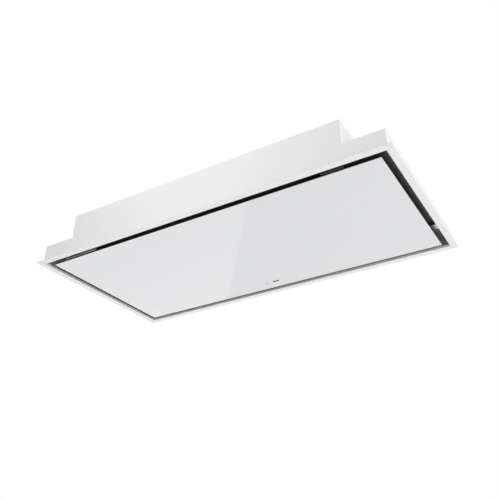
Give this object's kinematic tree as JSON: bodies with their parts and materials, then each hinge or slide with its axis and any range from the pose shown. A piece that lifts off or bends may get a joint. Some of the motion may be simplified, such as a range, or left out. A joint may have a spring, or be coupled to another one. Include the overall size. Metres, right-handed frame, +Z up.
{
  "type": "ceiling range hood",
  "caption": "Recessed ceiling range hood: white frame, drop-down white glass panel with perimeter suction slot, grease filters, fan and flat-duct outlet inside a stepped body.",
  "frame": {"origin": "centre of the ceiling cut-out, in the plane of the ceiling's face, where the frame's upper face bears", "axes": "+X along the hood, +Y towards the side with the receiver window and the duct outlet, +Z up into the ceiling void"},
  "size_m": [1.2, 0.644, 0.143],
  "materials": {
    "white_paint": "satin white powder coat",
    "galvanised_steel": "galvanised sheet",
    "stainless_steel": "satin stainless",
    "filter_aluminium": "satin aluminium",
    "filter_mesh": "layered expanded aluminium mesh",
    "plated_steel": "zinc plated",
    "magnet": "ferrite magnet",
    "motor_black": "black enamel",
    "isolator_rubber": "matte",
    "black_plastic": "moulded",
    "capacitor_can": "plain film capacitor can",
    "white_glass": "back-painted white glass with ground dark edge",
    "dark_lens": "smoked window",
    "clear_lens": "clear light pipe"
  },
  "bodies": {
    "hood": {"ceiling_frame": "white_paint", "frame_lip": "white_paint", "hinge_side_wall": "white_paint", "control_side_wall": "white_paint", "end_shelf_left": "white_paint", "end_shelf_right": "white_paint", "end_plate_left": "white_paint", "end_plate_right": "white_paint", "top_cover": "galvanised_steel", "recess_liner": "stainless_steel", "filter_deck": "stainless_steel", "far_filter_rail": "stainless_steel", "near_filter_rail": "stainless_steel", "filter_frame_1": "filter_aluminium", "filter_frame_2": "filter_aluminium", "filter_frame_3": "filter_aluminium", "filter_mesh_1": "filter_mesh", "filter_mesh_2": "filter_mesh", "filter_mesh_3": "filter_mesh", "hinge_bracket_left": "stainless_steel", "hinge_bracket_right": "stainless_steel", "hinge_pin_left": "plated_steel", "hinge_pin_right": "plated_steel", "catch_bracket_left": "stainless_steel", "catch_bracket_right": "stainless_steel", "catch_magnet_left": "magnet", "catch_magnet_right": "magnet", "scroll_housing": "galvanised_steel", "inlet_ring": "galvanised_steel", "motor_base": "motor_black", "fan_isolators": "isolator_rubber", "outlet_collar": "galvanised_steel", "damper_rod": "plated_steel", "control_box": "black_plastic", "control_box_lid": "black_plastic", "capacitor": "capacitor_can", "capacitor_clip": "galvanised_steel", "cable_gland": "black_plastic", "suspension_bracket_1": "galvanised_steel", "suspension_bracket_2": "galvanised_steel", "suspension_bracket_3": "galvanised_steel", "suspension_bracket_4": "galvanised_steel"},
    "panel": {"panel_glass": "white_glass", "panel_tray": "galvanised_steel", "tray_rim": "galvanised_steel", "tray_bars": "filter_aluminium", "receiver_box": "black_plastic", "receiver_window": "dark_lens", "indicator_lens": "clear_lens", "hinge_leaf_left": "stainless_steel", "hinge_leaf_right": "stainless_steel", "catch_keeper_left": "plated_steel", "catch_keeper_right": "plated_steel"},
    "fan_wheel": {"impeller": "galvanised_steel", "motor_rotor": "motor_black"},
    "damper_upper": {"damper_flap_upper": "black_plastic"},
    "damper_lower": {"damper_flap_lower": "black_plastic"},
    "latch_1": {"filter_latch_1": "stainless_steel"},
    "latch_2": {"filter_latch_2": "stainless_steel"},
    "latch_3": {"filter_latch_3": "stainless_steel"}
  },
  "joints": [
    {"name": "panel_hinge", "type": "hinge", "parent": "hood", "child": "panel", "pos_m": [0, -0.2471, 0.014], "axis": [-1, 0, 0], "range_deg": [0, 90]},
    {"name": "fan_spin", "type": "hinge", "parent": "hood", "child": "fan_wheel", "pos_m": [-0.08557, -0.06, 0.095], "axis": [0, 0, 1], "continuous": true},
    {"name": "damper_upper_swing", "type": "hinge", "parent": "hood", "child": "damper_upper", "pos_m": [0, 0.296, 0.093], "axis": [-1, 0, 0], "range_deg": [0, 75], "stiffness_Nm_per_rad": 0.03, "springref_deg": -22.92},
    {"name": "damper_lower_swing", "type": "hinge", "parent": "hood", "child": "damper_lower", "pos_m": [0, 0.296, 0.093], "axis": [1, 0, 0], "range_deg": [0, 75], "stiffness_Nm_per_rad": 0.03, "springref_deg": -22.92},
    {"name": "latch_1_slide", "type": "slide", "parent": "hood", "child": "latch_1", "axis": [0, 1, 0], "range_m": [0, 0.009], "stiffness_N_per_m": 300, "springref_m": -0.01},
    {"name": "latch_2_slide", "type": "slide", "parent": "hood", "child": "latch_2", "axis": [0, 1, 0], "range_m": [0, 0.009], "stiffness_N_per_m": 300, "springref_m": -0.01},
    {"name": "latch_3_slide", "type": "slide", "parent": "hood", "child": "latch_3", "axis": [0, 1, 0], "range_m": [0, 0.009], "stiffness_N_per_m": 300, "springref_m": -0.01}
  ]
}
